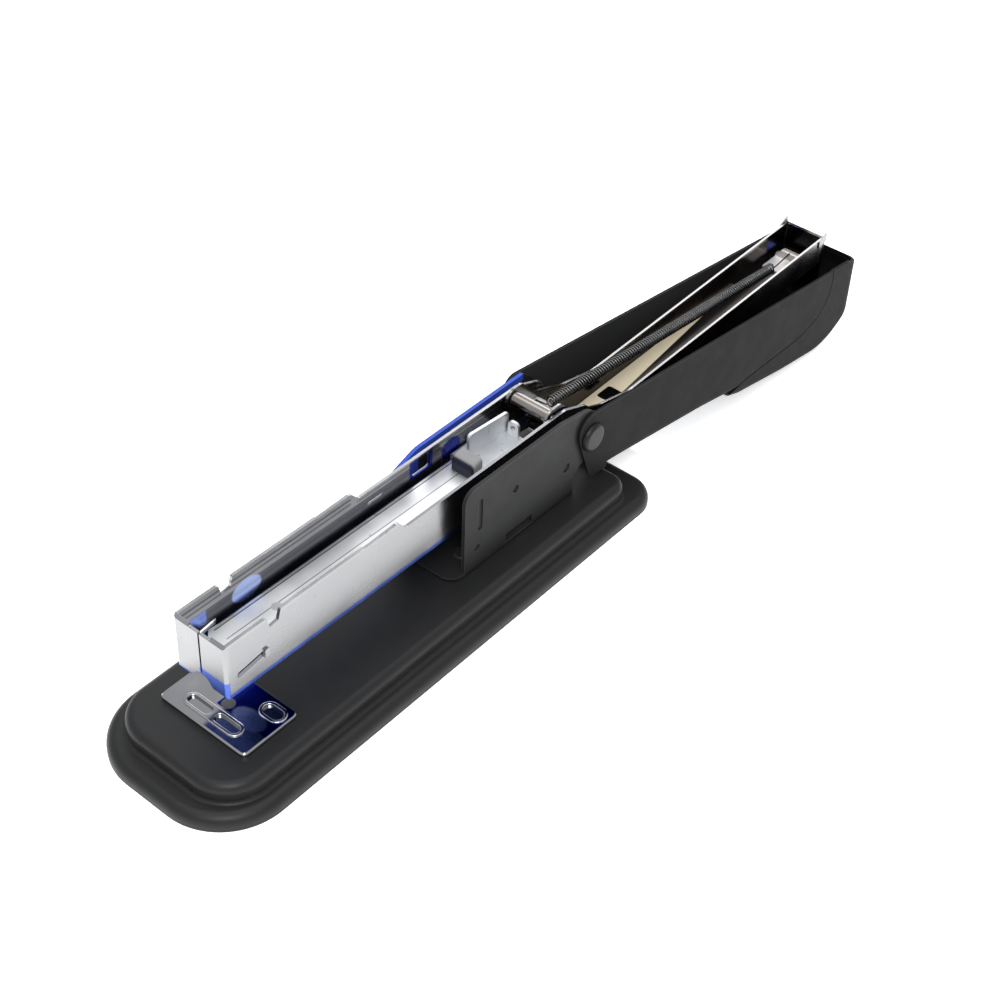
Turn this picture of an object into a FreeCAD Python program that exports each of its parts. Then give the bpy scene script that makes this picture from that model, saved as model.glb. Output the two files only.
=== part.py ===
"""Desk stapler, laid open for loading.

The handle and the feed cover are thrown back over the rear end and the magazine lies
open above the anvil.  The origin is the centre of the base's underside, +X runs from
the nose to the rear, +Z is up.  All lengths are millimetres, all angles degrees.
"""
import FreeCAD, Part
import math
import os
import re

V = FreeCAD.Vector

DIMENSIONS = {
    # base
    "base_length": 151.0,
    "base_width": 46.8,
    "base_height": 8.8,
    "front_corner": 17.0,
    "rear_corner": 8.0,
    "skirt_height": 3.8,
    "tier_front": 69.8,
    "tier_rear": 67.6,
    "tier_width": 38.6,
    "tier_front_corner": 11.0,
    "tier_rear_corner": 5.0,
    "pressing": 1.2,
    "pad_thickness": 1.6,
    # pivot
    "pin_x": 59.0,
    "pin_z": 24.05,
    "pin_radius": 1.9,
    "running_fit": 0.05,
    "head_radius": 3.9,
    "bush_radius": 2.4,
    # bracket
    "bracket_width": 23.0,
    "bracket_sheet": 1.0,
    "bracket_front": 13.1,
    "bracket_top": 34.2,
    "far_cheek_top": 30.8,
    # anvil
    "anvil_x": -51.0,
    "anvil_length": 16.2,
    "anvil_width": 26.4,
    "anvil_thickness": 1.3,
    "post_radius": 2.4,
    "button_radius": 7.0,
    # magazine, measured back from the nose and up from its floor
    "magazine_tilt": 1.02,
    "magazine_width": 15.2,
    "magazine_sheet": 0.8,
    "magazine_end": 121.2,
    "pin_from_nose": 116.2,
    "pin_above_floor": 4.57,
    "nose_wall": 15.2,
    "long_wall": 12.5,
    "floor_end": 102.0,
    "rail_start": 5.0,
    "rail_width": 11.6,
    "rail_top": 6.6,
    "rail_sheet": 0.6,
    # pusher
    "pusher_start": 85.5,
    "pusher_end": 101.5,
    # cover
    "open_trim": 0.0,
    "cover_lift": 1.37,
    "cover_width": 12.6,
    "cover_sheet": 0.6,
    "cover_floor": -11.4,
    "cover_edge": -3.145,
    "cover_start": 8.0,
    "cover_tip": 113.6,
    "roller_x": -8.0,
    "roller_z": 7.35,
    "roller_radius": 2.0,
    "spring_radius": 2.2,
    # handle
    "handle_width": 24.8,
    "handle_sheet": 0.75,
    "cap_wall": 1.0,
    "tip_corner": 6.5,
    "blade_x": 114.6,
    "blade_thickness": 0.7,
    "blade_width": 12.4,
    "blade_edge": -0.4,
}

doc = FreeCAD.newDocument("Stapler")
sheet = doc.addObject("Spreadsheet::Sheet", "Dimensions")
for row, (name, value) in enumerate(DIMENSIONS.items(), start=1):
    sheet.set(f"A{row}", name)
    sheet.set(f"B{row}", str(value))
    sheet.setAlias(f"B{row}", name)
doc.recompute()
size = {name: float(sheet.get(name)) for name in DIMENSIONS}

PLANES = {"plan": "XY_Plane", "side": "XZ_Plane", "end": "YZ_Plane"}
subparts = []


# ---- helpers ----

def bound(text):
    """An expression with its dimension names pointed at the sheet."""
    return re.sub(r"[a-z_]+", lambda word: f"Dimensions.{word[0]}" if word[0] in size else word[0], text)


def new_body(label, placement=None):
    """A body, kept as a sub-part under its label."""
    body = doc.addObject("PartDesign::Body", label)
    body.Label = label
    if placement is not None:
        body.Placement = placement
    subparts.append(body)
    return body


def form_body(label):
    """A body that only cuts or joins another piece."""
    return doc.addObject("PartDesign::Body", label)


def closed(*corners):
    """A closed outline through corners (x, y) or (x, y, radius), rounded by tangent arcs."""
    turns = []
    for index, (x, y, *radius) in enumerate(corners):
        here = V(x, y, 0)
        before = V(*corners[index - 1][:2], 0) - here
        after = V(*corners[(index + 1) % len(corners)][:2], 0) - here
        if not radius:
            turns.append((here, None, here))
            continue
        before.normalize()
        after.normalize()
        half = before.getAngle(after) / 2
        reach = radius[0] / math.tan(half)
        inward = (before + after).normalize()
        middle = here + inward * (radius[0] / math.sin(half) - radius[0])
        turns.append((here + before * reach, middle, here + after * reach))
    edges = []
    for index, (entry, middle, leave) in enumerate(turns):
        last = turns[index - 1][2]
        if (entry - last).Length > 1e-6:
            edges.append(Part.LineSegment(last, entry))
        if middle is not None:
            edges.append(Part.Arc(entry, middle, leave))
    return edges


def box_outline(left, bottom, right, top, radius=None):
    """A rectangle, with rounded corners when a radius is given."""
    corners = ((left, bottom), (right, bottom), (right, top), (left, top))
    if radius is None:
        return closed(*corners)
    return closed(*((x, y, radius) for x, y in corners))


def circle(x, y, radius):
    return [Part.Circle(V(x, y, 0), V(0, 0, 1), radius)]


def inset(corners, distance):
    """The corners of a closed outline, moved inwards by the distance."""
    pairs = list(zip([corners[-1], *corners[:-1]], corners, [*corners[1:], corners[0]]))
    area = sum(last[0] * here[1] - here[0] * last[1] for last, here, _ in pairs)
    side = math.copysign(1, area)
    moved = []
    for last, here, following in pairs:
        back = V(here[0] - last[0], here[1] - last[1], 0).normalize()
        ahead = V(following[0] - here[0], following[1] - here[1], 0).normalize()
        inward_back = V(-back.y, back.x, 0) * side
        inward_ahead = V(-ahead.y, ahead.x, 0) * side
        shift = (inward_back + inward_ahead) * (distance / (1 + inward_back.dot(inward_ahead)))
        corner = (here[0] + shift.x, here[1] + shift.y)
        if len(here) > 2:
            bulges = back.cross(ahead).z * side > 0
            radius = here[2] - distance if bulges else here[2] + distance
            corner += (max(radius, 0.2),)
        moved.append(corner)
    return moved


def sketch_on(body, plane, centre, outlines):
    """A sketch of closed outlines on one of the body's planes, moved along its normal."""
    role = PLANES[plane]
    origin_plane = next(item for item in body.Origin.OriginFeatures if item.Role == role)
    sketch = body.newObject("Sketcher::SketchObject", f"{body.Name}_sketch")
    sketch.AttachmentSupport = (origin_plane, [""])
    sketch.MapMode = "FlatFace"
    towards = "-1" if plane == "side" else "1"
    sketch.setExpression("AttachmentOffset.Base.z", bound(f"{towards} * ({centre})"))
    for outline in outlines:
        sketch.addGeometry(outline, False)
    return sketch


def across(body, kind, plane, low, high, outlines):
    """A pad or pocket of the outlines from low to high along the plane's normal."""
    sketch = sketch_on(body, plane, f"(({low}) + ({high})) / 2", outlines)
    feature = body.newObject(f"PartDesign::{kind}", f"{body.Name}_{kind}")
    feature.Profile = sketch
    feature.SideType = "Symmetric"
    feature.setExpression("Length", bound(f"({high}) - ({low})"))
    return feature


def pad(body, plane, low, high, *outlines):
    return across(body, "Pad", plane, low, high, outlines)


def pocket(body, plane, low, high, *outlines):
    return across(body, "Pocket", plane, low, high, outlines)


def turned(body, plane, axis, outline):
    """A full turn of an outline about the sketch's own H_Axis or V_Axis."""
    sketch = sketch_on(body, plane, "0", [outline])
    feature = body.newObject("PartDesign::Revolution", f"{body.Name}_turned")
    feature.Profile = sketch
    feature.ReferenceAxis = (sketch, [axis])
    feature.Angle = 360
    return feature


def soften(body, radius, chosen, kind="Fillet"):
    """A fillet or chamfer on the edges of the body that pass the test."""
    doc.recompute()
    base = body.Tip
    names = [f"Edge{number}" for number, edge in enumerate(base.Shape.Edges, start=1) if chosen(edge)]
    feature = body.newObject(f"PartDesign::{kind}", f"{body.Name}_{kind}")
    feature.Base = (base, names)
    feature.setExpression("Radius" if kind == "Fillet" else "Size", bound(radius))
    return feature


def at_height(edge, height, slack=0.01):
    box = edge.BoundBox
    return abs(box.ZMin - height) < slack and abs(box.ZMax - height) < slack


def stands_at(edge, half):
    """True for an edge in either of the two side planes at this distance from the middle."""
    box = edge.BoundBox
    return box.YLength < 0.01 and abs(abs(box.Center.y) - half) < 0.01


def follows(edge, outline, height):
    """True for an edge that runs along an outline lifted to a height."""
    middle = edge.valueAt((edge.FirstParameter + edge.LastParameter) / 2)
    rim = Part.Compound([curve.toShape() for curve in outline])
    rim.translate(V(0, 0, height))
    return rim.distToShape(Part.Vertex(middle))[0] < 0.01


def tilted(x, z, angle):
    """A frame at (x, z) whose X axis drops by the angle."""
    return FreeCAD.Placement(V(x, 0, z), FreeCAD.Rotation(V(0, 1, 0), angle))


magazine_frame = tilted(size["pin_x"], size["pin_z"], size["magazine_tilt"]).multiply(
    FreeCAD.Placement(V(-size["pin_from_nose"], 0, -size["pin_above_floor"]), FreeCAD.Rotation()))
cover_frame = tilted(size["pin_x"], size["pin_z"], size["open_trim"] - size["cover_lift"])
handle_frame = tilted(size["pin_x"], size["pin_z"], size["open_trim"])
pin_frame = FreeCAD.Placement(V(size["pin_x"], 0, size["pin_z"]), FreeCAD.Rotation())
anvil_frame = FreeCAD.Placement(V(size["anvil_x"], 0, 0), FreeCAD.Rotation())


# ---- base ----

def plan_outline(front, rear, half, front_corner, rear_corner, shrink):
    """An outline seen from above, rounder at the nose than at the rear, moved in by shrink."""
    return closed((shrink - front, shrink - half, front_corner - shrink),
                  (rear - shrink, shrink - half, rear_corner - shrink),
                  (rear - shrink, half - shrink, rear_corner - shrink),
                  (shrink - front, half - shrink, front_corner - shrink))


def base_outline(shrink):
    half_length = size["base_length"] / 2
    return plan_outline(half_length, half_length, size["base_width"] / 2,
                        size["front_corner"], size["rear_corner"], shrink)


def tier_outline(shrink):
    return plan_outline(size["tier_front"], size["tier_rear"], size["tier_width"] / 2,
                        size["tier_front_corner"], size["tier_rear_corner"], shrink)


BRACKET_RIVETS = [(x, y) for x in (18.0, 41.0) for y in (-6.5, 6.5)]
RIVET_RADIUS = 1.25
RIVET_HEAD_RADIUS = 2.1
SKIRT_ROOF = 1.4


def make_base_shell():
    shell = new_body("base_shell")
    pad(shell, "plan", "0", "skirt_height", base_outline(0))
    pad(shell, "plan", "skirt_height", "base_height", tier_outline(0))
    pocket(shell, "plan", "-1", f"skirt_height - {SKIRT_ROOF}", base_outline(size["pressing"]))
    pocket(shell, "plan", "0", "base_height - pressing", tier_outline(size["pressing"]))
    holes = [circle(x, y, RIVET_RADIUS) for x, y in BRACKET_RIVETS]
    holes.append(circle(size["anvil_x"], 0, size["post_radius"] + size["running_fit"]))
    pocket(shell, "plan", "skirt_height", "base_height + 1", *holes)
    # the skirt rolls over into the step, and the upper tier rolls into its flat top
    skirt = size["skirt_height"]
    soften(shell, "2.5", lambda edge: follows(edge, base_outline(0), skirt))
    soften(shell, "0.8", lambda edge: follows(edge, tier_outline(0), skirt))
    soften(shell, "2.2", lambda edge: follows(edge, tier_outline(0), size["base_height"]))


def make_base_pad():
    base_pad = new_body("base_pad")
    pad(base_pad, "plan", "0", "pad_thickness", base_outline(size["pressing"] + 0.1))
    finger = circle(size["anvil_x"], 0, size["button_radius"] + 1)
    pocket(base_pad, "plan", "-1", "pad_thickness + 1", finger)


def make_bracket():
    """A folded U: two cheeks that carry the pin, on a floor with a rounded front lip."""
    bracket = new_body("bracket")
    half = size["bracket_width"] / 2
    floor = size["base_height"]
    front = size["bracket_front"]
    top = size["bracket_top"]
    cheek = closed((front, floor), (front, top, 3.5), (48, 34, 8), (58.5, 32.2, 6), (66, 26, 5),
                   (64.6, 18.6, 4), (56, 16.4, 1.5), (53, 13.4, 1.5), (54, floor))
    pad(bracket, "side", "-bracket_width / 2", "bracket_width / 2", cheek)
    notch = box_outline(28, floor - 1, 38, floor + 3.8, 0.5)
    pocket(bracket, "side", "-bracket_width", "bracket_width", notch)
    room = box_outline(front - 1, floor - 1, 70, top + 1)
    inner = "bracket_width / 2 - bracket_sheet"
    pocket(bracket, "side", f"-({inner})", inner, room)
    # the far cheek is lower than the near one, and its front corner is taken down further
    far_top = size["far_cheek_top"]
    above = closed((front - 1, far_top - 4.5), (front - 1, top + 1), (62, top + 1), (62, far_top),
                   (21, far_top, 9), (front + 0.4, far_top - 2.6, 2))
    pocket(bracket, "side", "0", "bracket_width", above)
    plate = closed((9, -half, 4), (54, -half), (54, half), (9, half, 4))
    pad(bracket, "plan", "base_height", "base_height + bracket_sheet", plate)
    pocket(bracket, "side", "-bracket_width", "bracket_width",
           circle(size["pin_x"], size["pin_z"], size["pin_radius"]))
    rivet_holes = [circle(x, y, RIVET_RADIUS) for x, y in BRACKET_RIVETS]
    pocket(bracket, "plan", "base_height - 1", "base_height + 2", *rivet_holes)
    # one stiffening groove and three set marks, pressed into both cheeks
    groove = box_outline(17.7, 20.4, 19.3, 29.8, 0.75)
    marks = [circle(31.1, 24.9, 1.1), circle(50.5, 19.0, 1.3), circle(17.5, 15.6, 1.0)]
    depth = 0.45
    for low, high in ((f"bracket_width / 2 - {depth}", "bracket_width"),
                      ("-bracket_width", f"{depth} - bracket_width / 2")):
        pocket(bracket, "side", low, high, groove, *marks)
    soften(bracket, "0.9", lambda edge: at_height(edge, floor) and edge.Length > 8 and stands_at(edge, half))


def make_bracket_rivets():
    rivets = new_body("bracket_rivets")
    under = size["base_height"] - size["pressing"]
    top = size["base_height"] + size["bracket_sheet"]
    head = 0.9
    clench = 0.7
    shanks = [circle(x, y, RIVET_RADIUS) for x, y in BRACKET_RIVETS]
    heads = [circle(x, y, RIVET_HEAD_RADIUS) for x, y in BRACKET_RIVETS]
    # each rivet is a solid of its own
    rivets.AllowCompound = True
    pad(rivets, "plan", str(under), str(top), *shanks)
    pad(rivets, "plan", str(top), str(top + head), *heads)
    pad(rivets, "plan", str(under - clench), str(under), *heads)
    soften(rivets, "0.6", lambda edge: at_height(edge, top + head))


def make_main_pin():
    """The pivot: a shank across everything with a domed head at each end."""
    pin = new_body("main_pin", pin_frame)
    half = size["handle_width"] / 2 + size["running_fit"]
    head = 1.2
    radius = size["pin_radius"]
    wide = size["head_radius"]
    outline = closed((0, -half - head), (wide - 0.4, -half - head, 1.0), (wide, -half, 0.2),
                     (radius, -half), (radius, half),
                     (wide, half, 0.2), (wide - 0.4, half + head, 1.0), (0, half + head))
    turned(pin, "plan", "V_Axis", outline)


def make_pivot_bush():
    bush = new_body("pivot_bush", pin_frame)
    reach = size["cover_width"] / 2 - size["cover_sheet"] - 0.1
    outline = box_outline(size["pin_radius"], -reach, size["bush_radius"], reach)
    turned(bush, "plan", "V_Axis", outline)


def make_lift_spring():
    """A leaf riveted to the bracket's floor that carries the magazine."""
    leaf = new_body("lift_spring")
    floor = size["base_height"] + size["bracket_sheet"]
    thick = 0.5
    strip = closed((46, floor), (46, floor + thick), (38, floor + thick, 3), (17, 19.6, 2),
                   (13.5, 19.0), (13.5, 18.5), (17, 19.1, 1.5), (38.2, floor, 3.5))
    pad(leaf, "side", "-3.8", "3.8", strip)


# ---- anvil ----

NECK_RADIUS = 1.6


def make_anvil():
    """The plate turns on its post, which a button lifts from below."""
    plate = new_body("anvil_plate", anvil_frame)
    half_length = size["anvil_length"] / 2
    half_width = size["anvil_width"] / 2
    top = size["base_height"] + size["anvil_thickness"]
    rim = box_outline(-half_length, -half_width, half_length, half_width, 1.4)
    pad(plate, "plan", "base_height", str(top), rim)
    # the front pair of pockets turn the legs in, and the rear pair, further apart, turn them out
    rows = [(-4.3, 1.2, 4.15, 3.45), (4.5, 1.5, 9.1, 2.6)]
    lip = 0.9
    raised = 0.35
    bosses = []
    pockets = []
    for x, half_wide, y, half_long in rows:
        for side in (-1, 1):
            here = [x - half_wide, side * y - half_long, x + half_wide, side * y + half_long]
            around = [here[0] - lip, here[1] - lip, here[2] + lip, here[3] + lip]
            bosses.append(box_outline(*around, half_wide + lip - 0.01))
            pockets.append(box_outline(*here, half_wide - 0.01))
    pad(plate, "plan", str(top), str(top + raised), box_outline(-6.4, -8.5, -2.2, 8.5, 2.09))
    pad(plate, "plan", str(top), str(top + raised), *bosses[2:])
    pocket(plate, "plan", str(top - 0.45), str(top + 1), *pockets)
    pocket(plate, "plan", "0", str(top + 1), circle(0, 0, NECK_RADIUS + size["running_fit"]))
    soften(plate, "0.3", lambda edge: at_height(edge, top + raised))
    soften(plate, "0.35", lambda edge: follows(edge, rim, top), "Chamfer")


def make_anvil_button():
    button = new_body("anvil_button", anvil_frame)
    under = 0.8
    disc = 1.4
    top = size["base_height"] - size["running_fit"]
    wide = size["button_radius"]
    post = size["post_radius"]
    outline = closed((0, under), (wide - 1, under, 0.6), (wide, under + 0.5, 0.4), (wide, under + disc),
                     (post, under + disc), (post, top), (0, top))
    turned(button, "side", "V_Axis", outline)
    neck = circle(0, 0, NECK_RADIUS)
    pad(button, "plan", str(top), "base_height + anvil_thickness", neck)


def make_anvil_spring():
    spring = new_body("anvil_spring", anvil_frame)
    low = 2.3
    high = size["base_height"] - size["pressing"] - 0.05
    turned(spring, "side", "V_Axis", box_outline(3.2, low, 4.8, high))


# ---- magazine ----

RAIL_RIVETS = (22.0, 92.0)
RAIL_RIVET_RADIUS = 1.3
SLIDING_FIT = 0.15


def make_magazine_channel():
    """The channel that holds the staples, with the front plate folded in from both walls."""
    channel = new_body("magazine_channel", magazine_frame)
    wall = size["nose_wall"]
    low = size["long_wall"]
    end = size["magazine_end"]
    side = closed((0.6, 0), (0, 0.6), (0, wall - 0.7), (0.7, wall), (12.0, wall, 0.5), (12.8, low - 0.4),
                  (15.3, low), (16.1, wall, 0.5), (41.2, wall), (41.5, wall - 0.35), (52.1, wall, 1.2),
                  (54.6, low, 1.0), (111, low + 0.5, 5), (end, 9.3, 4.0), (end, 0, 4.6))
    pad(channel, "side", "-magazine_width / 2", "magazine_width / 2", side)
    soften(channel, "0.75", lambda edge: upright(edge, 0) and abs(edge.BoundBox.Center.y) > 7)
    sheet_gauge = size["magazine_sheet"]
    inner = "magazine_width / 2 - magazine_sheet"
    room = closed((sheet_gauge, sheet_gauge), (sheet_gauge, 20), (end + 1, 20), (end + 1, sheet_gauge))
    pocket(channel, "side", f"-({inner})", inner, room)
    open_end = box_outline(size["floor_end"], -1, end + 1, 2)
    pocket(channel, "side", f"-({inner})", inner, open_end)
    # the slot through which the blade drives a staple
    half = size["magazine_width"] / 2 - sheet_gauge
    pocket(channel, "plan", "-1", "2", box_outline(sheet_gauge, -half, 2.6, half))
    # the front plate is two flaps that meet on a slit and open into an arch over the paper
    slit = box_outline(-0.25, 2.0, 0.25, 16)
    arch = closed((-4.3, -1), (-3.5, 0.2, 1.5), (-1.5, 2.8, 2), (1.5, 2.8, 2), (3.5, 0.2, 1.5), (4.3, -1))
    relief = closed((-3.2, 16), (-3.2, 14.5, 0.4), (3.2, 14.5, 0.4), (3.2, 16))
    pocket(channel, "end", "-1", "magazine_sheet", arch)
    pocket(channel, "end", "-1", "magazine_sheet", slit)
    pocket(channel, "end", "-1", "magazine_sheet", relief)
    # a lanced slot in both walls at the nose, with its lip turned outwards
    slot = closed((3.1, 4.1, 0.7), (10.6, 5.3), (10.6, 6.9), (3.1, 5.7, 0.7))
    pocket(channel, "side", "-magazine_width", "magazine_width", slot)
    lip = closed((10.7, 4.9), (12.0, 5.1, 0.4), (12.0, 7.3, 0.4), (10.7, 7.1))
    for low_face, high_face in (("magazine_width / 2", "magazine_width / 2 + 0.5"),
                                ("-magazine_width / 2 - 0.5", "-magazine_width / 2")):
        pad(channel, "side", low_face, high_face, lip)
    # the far wall has a sight window
    window = box_outline(72.5, 7.5, 78.5, 12.0, 0.8)
    pocket(channel, "side", inner, "magazine_width", window)
    slit_window = box_outline(57.5, 8.6, 63, 9.4, 0.39)
    pocket(channel, "side", inner, "magazine_width", slit_window)
    pin = circle(size["pin_from_nose"], size["pin_above_floor"], size["pin_radius"] + size["running_fit"])
    pocket(channel, "side", "-magazine_width", "magazine_width", pin)
    rivet_holes = [circle(x, 0, RAIL_RIVET_RADIUS) for x in RAIL_RIVETS]
    pocket(channel, "plan", "-1", "2", *rivet_holes)


def upright(edge, x):
    """An edge that stands on the plane at x."""
    box = edge.BoundBox
    return abs(box.Center.x - x) < 0.01 and box.XLength < 0.01 and box.ZLength > 5


def make_staple_rail():
    rail = new_body("staple_rail", magazine_frame)
    half = size["rail_width"] / 2
    thick = size["rail_sheet"]
    top = size["rail_top"]
    floor = size["magazine_sheet"]
    section = closed((-half, floor), (-half, top, 0.9), (half, top, 0.9), (half, floor),
                     (half - thick, floor), (half - thick, top - thick), (thick - half, top - thick),
                     (thick - half, floor))
    pad(rail, "end", "rail_start", "floor_end", section)
    start = size["rail_start"]
    trim = 2.6
    narrow = 5.45
    narrow_from = 95.5
    # the front end is cut back round both corners
    for sign in (-1, 1):
        cut = closed((start - 1, sign * (half + 1)), (start + trim, sign * (half + 1)),
                     (start + trim, sign * half), (start, sign * (half - trim)),
                     (start - 1, sign * (half - trim)))
        pocket(rail, "plan", "0", "20", cut)
    # and the rear end is narrowed for the ears of the closed cover
    for side in ((narrow, half + 1), (-half - 1, -narrow)):
        pocket(rail, "plan", "0", "20", box_outline(narrow_from, side[0], size["floor_end"] + 1, side[1]))
    pocket(rail, "plan", "0", "20", *[circle(x, 0, RAIL_RIVET_RADIUS) for x in RAIL_RIVETS])


def make_rail_rivets():
    rivets = new_body("rail_rivets", magazine_frame)
    rivets.AllowCompound = True
    pad(rivets, "plan", "0", "rail_top", *[circle(x, 0, RAIL_RIVET_RADIUS) for x in RAIL_RIVETS])


def make_pusher():
    """A saddle on the rail with an upright web that the spring pulls on."""
    pusher = new_body("pusher", magazine_frame)
    half = 6.55
    low = 2.0
    under = size["rail_top"] + SLIDING_FIT
    top = under + 0.65
    beside = size["rail_width"] / 2 + SLIDING_FIT
    section = closed((-half, low), (-half, top, 0.7), (half, top, 0.7), (half, low),
                     (beside, low), (beside, under), (-beside, under), (-beside, low))
    pad(pusher, "end", "pusher_start", "pusher_start + 6.5", section)
    start = size["pusher_start"]
    end = size["pusher_end"]
    # behind the skirts the saddle is narrow enough for the closed cover's ears
    pad(pusher, "plan", str(under), str(top), box_outline(start + 6, -5.4, end, 5.4))
    web = closed((start + 1.5, under), (start + 1.5, 14.1, 1.0), (end, 13.0, 1.0), (end, under))
    pad(pusher, "side", "2.0", "2.8", web)
    # a tongue at the rear turns up and takes the spring's hook
    hook = closed((-1.6, under), (-1.6, 11.2, 1.2), (1.6, 11.2, 1.2), (1.6, under))
    pad(pusher, "end", "pusher_end - 0.8", "pusher_end", hook)
    pocket(pusher, "end", "pusher_end - 2", "pusher_end + 1", circle(0, 9.4, 0.7))


def make_pusher_tip():
    tip = new_body("pusher_tip", magazine_frame)
    start = size["pusher_start"]
    under = size["rail_top"] + SLIDING_FIT
    half = 3.4
    nose = closed((start - 3.6, under), (start - 3.6, 10.4, 2.0), (start, 11.2), (start, under))
    pad(tip, "side", str(-half), str(half), nose)
    soften(tip, "0.9", lambda edge: stands_at(edge, half) and edge.BoundBox.ZMax > 8
           and edge.BoundBox.Center.x < start - 0.1)


# ---- cover ----

ROLLER_SHANK = 1.0


def make_cover_channel():
    """The feed cover: a channel on two ears, with arms past the pin that carry the roller."""
    cover = new_body("cover_channel", cover_frame)
    floor = size["cover_floor"]
    edge = size["cover_edge"]
    tip = size["cover_tip"]
    arm = 2.8
    roller_x = size["roller_x"]
    roller_z = size["roller_z"]
    side = closed((size["cover_start"], floor, 2), (tip, floor, 1), (tip, edge, 0.4), (24, edge, 10),
                  (11, 0, 8), (1.0, 4.2, 2.5), (-5.0, roller_z + arm, 2.0),
                  (roller_x - arm, roller_z + arm, arm), (roller_x - arm, roller_z - arm, arm),
                  (-5.4, roller_z - arm, 1.5), (-3.9, 0.4, 3.0), (-2.6, -3.6, 3.0))
    pad(cover, "side", "-cover_width / 2", "cover_width / 2", side)
    inner = "cover_width / 2 - cover_sheet"
    room = box_outline(-15, floor + size["cover_sheet"], tip + 1, 20)
    pocket(cover, "side", f"-({inner})", inner, room)
    pocket(cover, "side", f"-({inner})", inner, box_outline(-15, floor - 1, size["cover_start"] + 2, 20))
    window = box_outline(24, -4.4, 29.5, 4.4, 0.8)
    pocket(cover, "plan", "cover_floor - 1", "cover_floor + 1", window)
    flare = closed((tip - 2.4, edge - 2.2), (tip + 1.2, edge - 1.2, 0.4), (tip + 1.2, edge + 1.6, 0.4),
                   (tip - 2.4, edge))
    for low, high in (("cover_width / 2", "cover_width / 2 + 0.4"),
                      ("-cover_width / 2 - 0.4", "-cover_width / 2")):
        pad(cover, "side", low, high, flare)
    pin_hole = circle(0, 0, size["pin_radius"] + size["running_fit"])
    holes = [pin_hole, circle(roller_x, roller_z, ROLLER_SHANK)]
    pocket(cover, "side", "-cover_width", "cover_width", *holes)


def make_roller_pin():
    centre = cover_frame.multVec(V(size["roller_x"], 0, size["roller_z"]))
    roller = new_body("roller_pin", FreeCAD.Placement(centre, cover_frame.Rotation))
    ear = size["cover_width"] / 2
    inside = ear - size["cover_sheet"] - 0.1
    end = ear + 0.2
    wide = size["roller_radius"]
    outline = closed((0, -end), (ROLLER_SHANK, -end), (ROLLER_SHANK, -inside), (wide, -inside, 0.4),
                     (wide, inside, 0.4), (ROLLER_SHANK, inside), (ROLLER_SHANK, end), (0, end))
    turned(roller, "plan", "V_Axis", outline)


def make_spring_anchor():
    anchor = new_body("spring_anchor", cover_frame)
    floor = size["cover_floor"] + size["cover_sheet"]
    top = -8.0
    side = closed((100, floor), (100, floor + 0.7), (106.4, floor + 0.7, 0.4), (106.9, top), (107.7, top),
                  (107.5, floor + 0.7, 0.4), (111.5, floor + 0.7), (111.5, floor))
    pad(anchor, "side", "-4.2", "4.2", side)
    shoulders = [closed((x * 5, 0), (x * 5, -9.6), (x * 2.8, top - 0.4), (x * 2.8, 0)) for x in (-1, 1)]
    pocket(anchor, "end", "103", "110", *shoulders)
    pocket(anchor, "end", "103", "110", circle(0, -9.0, 0.5))


def make_pusher_spring():
    """The space of the long extension spring, from the pin to the cover's tip."""
    low = V(-3.4, 0, 5.1)
    high = V(99.5, 0, -7.95)
    spring = doc.addObject("Part::Cylinder", "pusher_spring")
    spring.Label = "pusher_spring"
    spring.setExpression("Radius", bound("spring_radius"))
    spring.Height = (high - low).Length
    turn = FreeCAD.Rotation(V(0, 0, 1), high - low)
    spring.Placement = cover_frame.multiply(FreeCAD.Placement(low, turn))
    subparts.append(spring)


# ---- handle ----

# the handle's outline beside the pin, in the frame of the pin: open edge, tip, underside, ear
OPEN_EDGE_START = 7.04
OPEN_EDGE_SLOPE = -0.132


def open_edge(x):
    return OPEN_EDGE_START + OPEN_EDGE_SLOPE * x


# the crease where shell and cap meet, from the open edge down to the step underneath
CREASE = [(111.7, open_edge(111.7)), (112.6, -14.6, 11), (107.5, -21.0, 7), (98.0, -23.6, 12),
          (70.0, -23.0, 12), (63.6, -24.2)]
CAP_FRONT = [(64.6, -25.9), (68.5, -27.3, 8), (90.4, -31.8, 60), (113.0, -35.4, 22), (126.1, -29.0, 12),
             (128.2, -19.5, 12), (127.4, -12.0), (119.5, open_edge(119.5), 4)]
EAR = [(-5.9, open_edge(-5.9), 4.5), (-4.7, 0.5, 8), (0.4, -13.0, 3.2), (12.8, -14.8, 60), (49.4, -21.2, 60)]
# where the cap's rear lip ends, and a line well inside the shell's own walls
LIP_X = 66.5
JOGGLE = [(108, 20), (108, -14), (104, -18), (97, -20.8), (74, -20.2)]
UNDERSIDE_START = 6.0
TIP_X = 128.2
HANDLE_RIVETS = [(111.0, -21.5), (111.0, -28.0)]
HANDLE_RIVET_RADIUS = 1.3
LEAF_RIVET = (43.0, -20.08)
LEAF_RIVET_TILT = 9.93
LEAF_RIVET_RADIUS = 1.2
BLADE_LEAN = 1.4
SEAM_WIDTH = 0.4
SEAM_DEPTH = 0.35


def height_at(corners, index, x):
    """Height at x on the stretch that follows a corner."""
    (x_low, z_low, *_), (x_high, z_high, *_) = corners[index:index + 2]
    return z_low + (z_high - z_low) * (x - x_low) / (x_high - x_low)


def tip_run(distance, start=LIP_X):
    """The underside and front of the tip, moved inwards, from the lip to the open edge."""
    moved = inset([*CREASE, *CAP_FRONT], distance)[len(CREASE):]
    return [(start, height_at(moved, 0, start)), *moved[1:]]


def round_in_plan(body, half, front, radius):
    """Rounds the front corners as seen from above by cutting away what is outside them."""
    outside = box_outline(-30, -40, 150, 40)
    pocket(body, "plan", "-60", "30", outside, box_outline(-20, -half, front, half, radius))


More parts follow.
